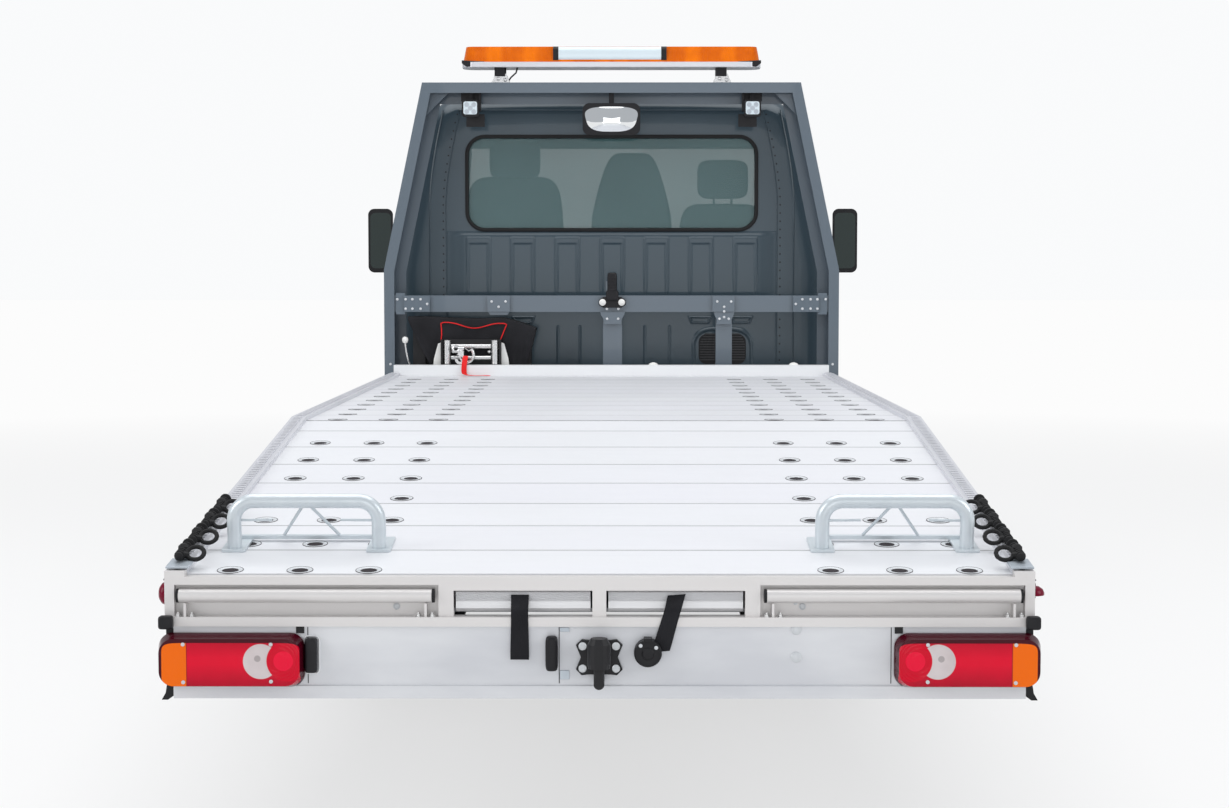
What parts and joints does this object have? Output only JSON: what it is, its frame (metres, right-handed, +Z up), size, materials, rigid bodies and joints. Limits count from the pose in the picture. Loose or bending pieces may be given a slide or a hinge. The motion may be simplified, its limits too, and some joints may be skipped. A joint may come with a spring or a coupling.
{
  "type": "car transporter tow truck",
  "caption": "Van-based car transporter with a hollow cab, planked bent aluminium deck, headboard, winch, stowed ramps and a rear light board.",
  "frame": {"origin": "on the ground, midway along and across the vehicle", "axes": "+Y forwards along the vehicle, +X to its right, +Z up"},
  "size_m": [2.65, 7.7999, 2.549],
  "materials": {
    "chassis_black": "satin",
    "cab_paint": "gloss",
    "frame_paint": "satin",
    "deck_aluminium": "satin",
    "rail_aluminium": "satin",
    "galvanised": "matte",
    "black_plastic": "matte",
    "grille_plastic": "satin",
    "tinted_glass": "polished",
    "lamp_glass": "polished",
    "lamp_red": "gloss",
    "amber_lens": "gloss",
    "lamp_housing": "satin",
    "mirror_housing": "matte",
    "interior": "matte",
    "seat_fabric": "matte",
    "cover_fabric": "matte",
    "strap_fabric": "matte",
    "tyre": "matte",
    "rim_steel": "satin",
    "cast": "matte"
  },
  "bodies": {
    "chassis": {"chassis_frame": "chassis_black", "deck_beams": "deck_aluminium", "deck_bearers": "deck_aluminium", "deck_planks_level": "deck_aluminium", "deck_planks_slope": "deck_aluminium", "side_rails": "rail_aluminium", "lashing_rings": "black_plastic", "wheel_stops": "galvanised", "rear_crossmember": "deck_aluminium", "bumper_board": "rail_aluminium", "rear_lamps": "lamp_red", "tow_coupling": "chassis_black", "rear_fittings": "black_plastic", "headboard_frame": "frame_paint", "headboard_bars": "frame_paint", "winch_platform": "rail_aluminium", "winch": "chassis_black", "fairlead_frame": "chassis_black", "winch_cover": "cover_fabric", "fairlead_rollers": "galvanised", "winch_hook": "galvanised", "light_bar_base": "lamp_housing", "light_bar_lens": "amber_lens", "work_lights": "lamp_housing", "rear_view_mirror": "mirror_housing", "cab_shell": "cab_paint", "front_bumper": "black_plastic", "front_grille": "grille_plastic", "cab_glass": "tinted_glass", "headlamps": "lamp_glass", "dashboard": "interior", "seats": "seat_fabric", "front_axle": "chassis_black", "rear_axle": "chassis_black", "leaf_springs": "chassis_black", "engine": "cast", "fuel_tank": "black_plastic", "exhaust": "galvanised", "mudguards": "black_plastic"},
    "door_left": {"door_left": "cab_paint", "door_glass_left": "tinted_glass", "door_mirror_left": "mirror_housing"},
    "steering_left": {"knuckle_left": "cast"},
    "ramp_left": {"ramp_left": "deck_aluminium", "ramp_strap_left": "strap_fabric"},
    "wheel_front_left": {"tyre_front_left": "tyre", "rim_front_left": "rim_steel"},
    "wheel_rear_left": {"tyre_rear_left": "tyre", "rim_rear_left": "rim_steel"},
    "door_right": {"door_right": "cab_paint", "door_glass_right": "tinted_glass", "door_mirror_right": "mirror_housing"},
    "steering_right": {"knuckle_right": "cast"},
    "ramp_right": {"ramp_right": "deck_aluminium", "ramp_strap_right": "strap_fabric"},
    "wheel_front_right": {"tyre_front_right": "tyre", "rim_front_right": "rim_steel"},
    "wheel_rear_right": {"tyre_rear_right": "tyre", "rim_rear_right": "rim_steel"},
    "bonnet": {"bonnet": "cab_paint"}
  },
  "joints": [
    {"name": "steer_left", "type": "hinge", "parent": "chassis", "child": "steering_left", "pos_m": [-0.833, 3.00021, 0.349], "axis": [0, 0, 1], "range_deg": [-35, 35]},
    {"name": "front_wheel_spin_left", "type": "hinge", "parent": "steering_left", "child": "wheel_front_left", "pos_m": [-0.895, 3.00021, 0.349], "axis": [1, 0, 0], "continuous": true},
    {"name": "rear_wheel_spin_left", "type": "hinge", "parent": "chassis", "child": "wheel_rear_left", "pos_m": [-0.895, -1.29979, 0.349], "axis": [1, 0, 0], "continuous": true},
    {"name": "door_swing_left", "type": "hinge", "parent": "chassis", "child": "door_left", "pos_m": [-1.025, 2.52021, 1], "axis": [0, 0, -1], "range_deg": [0, 70]},
    {"name": "ramp_slide_left", "type": "slide", "parent": "chassis", "child": "ramp_left", "axis": [0, -0.9927, -0.121], "range_m": [0, 1.5]},
    {"name": "steer_right", "type": "hinge", "parent": "chassis", "child": "steering_right", "pos_m": [0.833, 3.00021, 0.349], "axis": [0, 0, 1], "range_deg": [-35, 35]},
    {"name": "front_wheel_spin_right", "type": "hinge", "parent": "steering_right", "child": "wheel_front_right", "pos_m": [0.895, 3.00021, 0.349], "axis": [1, 0, 0], "continuous": true},
    {"name": "rear_wheel_spin_right", "type": "hinge", "parent": "chassis", "child": "wheel_rear_right", "pos_m": [0.895, -1.29979, 0.349], "axis": [1, 0, 0], "continuous": true},
    {"name": "door_swing_right", "type": "hinge", "parent": "chassis", "child": "door_right", "pos_m": [1.025, 2.52021, 1], "axis": [0, 0, 1], "range_deg": [0, 70]},
    {"name": "ramp_slide_right", "type": "slide", "parent": "chassis", "child": "ramp_right", "axis": [0, -0.9927, -0.121], "range_m": [0, 1.5]},
    {"name": "bonnet_swing", "type": "hinge", "parent": "chassis", "child": "bonnet", "pos_m": [0, 3.21021, 1.29], "axis": [1, 0, 0], "range_deg": [0, 55]}
  ],
  "couplings": [
    {"joint": "steer_right", "follows": "steer_left", "ratio": 1}
  ]
}
